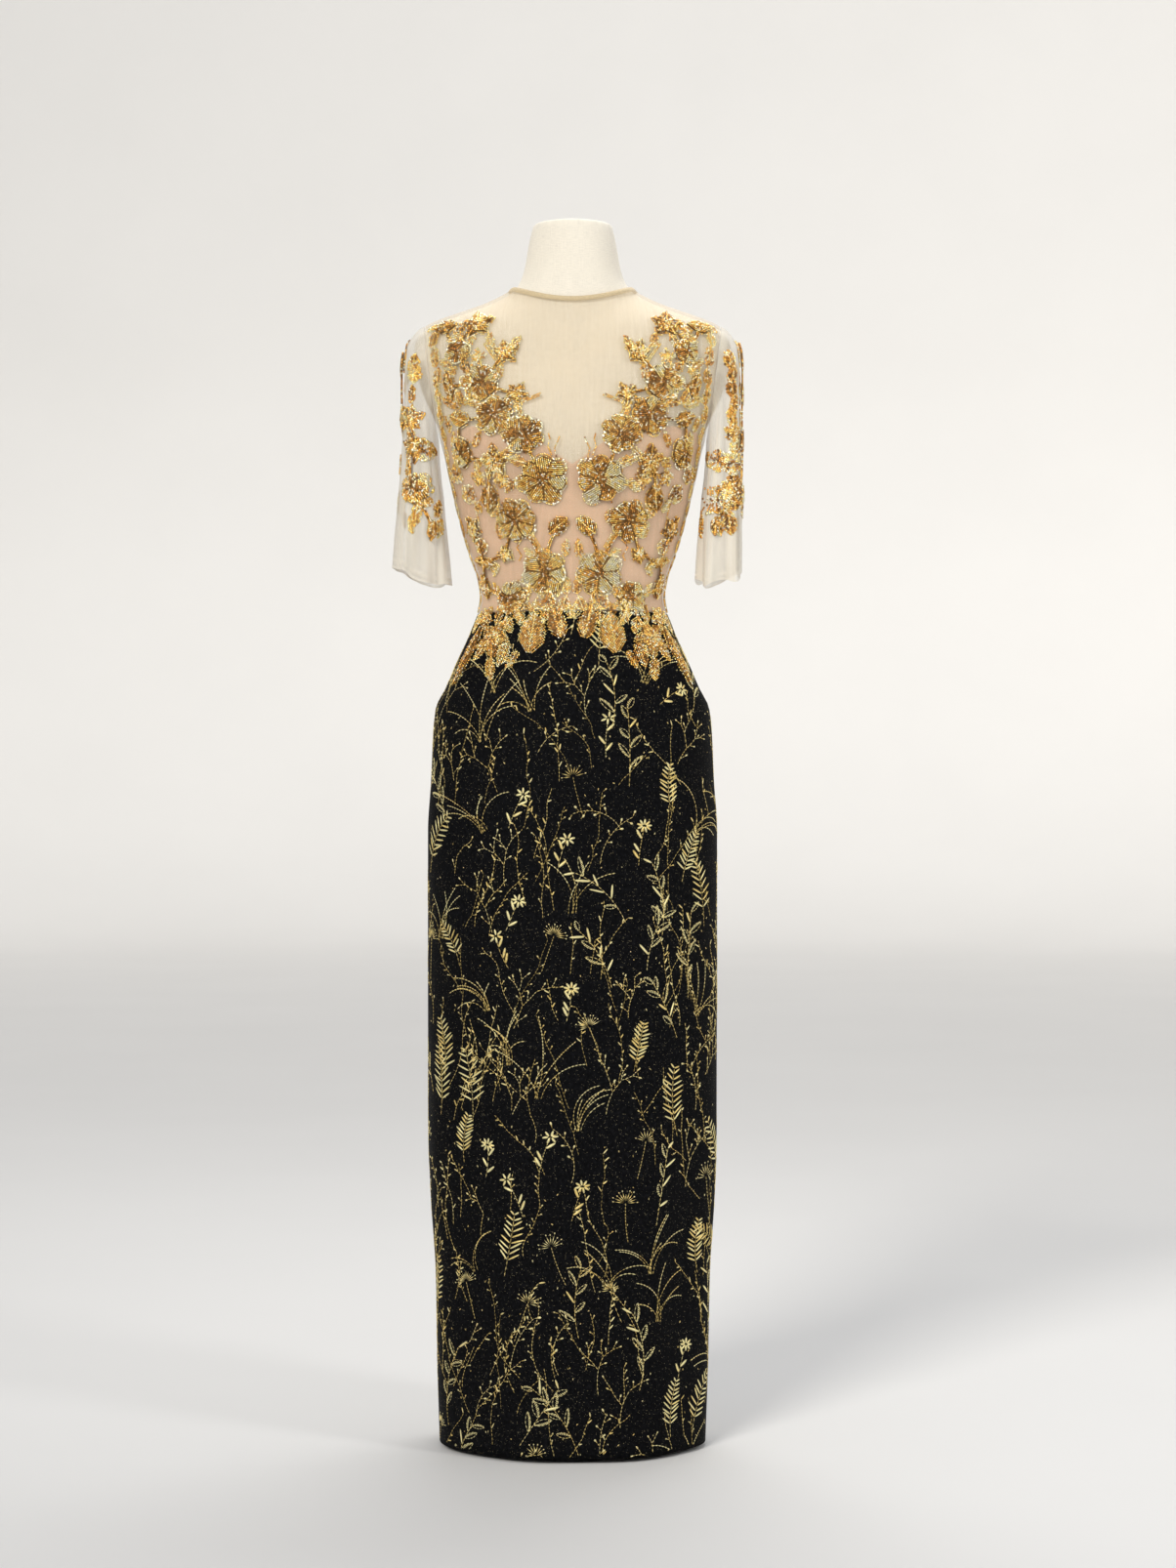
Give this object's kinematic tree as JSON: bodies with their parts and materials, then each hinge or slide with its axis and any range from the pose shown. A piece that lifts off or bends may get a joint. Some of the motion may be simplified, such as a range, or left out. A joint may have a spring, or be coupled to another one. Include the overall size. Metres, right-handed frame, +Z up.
{
  "type": "beaded gown on a dress form",
  "caption": "Full-length column gown on a linen dress form: sheer tulle bodice and elbow sleeves with gold beaded flower sprays, black skirt woven with metallic plants.",
  "frame": {"origin": "on the floor under the dress form's post, at the middle of its round base", "axes": "+Z up; the gown's front faces -Y; +X is the wearer's left"},
  "size_m": [0.4527, 0.2595, 1.576],
  "materials": {
    "linen": "cream linen with a slubby plain weave",
    "steel": "satin black paint",
    "lining": "blush satin",
    "tulle": "fine nude net, sheer",
    "binding": "folded nude net",
    "skirt": "black textured brocade with metallic gold plants",
    "zip": "woven tape over a concealed closure",
    "beadwork": "gold bugle beads, seed beads and sequins"
  },
  "bodies": {
    "root": {"form_torso": "linen", "form_post": "steel", "form_base": "steel", "tulle_front": "tulle", "tulle_back_left": "tulle", "tulle_back_right": "tulle", "lining_front": "lining", "lining_back_left": "lining", "lining_back_right": "lining", "neck_binding": "binding", "skirt_front": "skirt", "skirt_back_left": "skirt", "skirt_back_right": "skirt", "back_zip": "zip", "sleeve_left": "tulle", "sleeve_right": "tulle", "spray_shoulder_left": "beadwork", "spray_breast_left": "beadwork", "spray_waist_left": "beadwork", "spray_back_yoke_left": "beadwork", "spray_back_waist_left": "beadwork", "spray_sleeve_left": "beadwork", "spray_shoulder_right": "beadwork", "spray_breast_right": "beadwork", "spray_waist_right": "beadwork", "spray_back_yoke_right": "beadwork", "spray_back_waist_right": "beadwork", "spray_sleeve_right": "beadwork"}
  },
  "joints": []
}
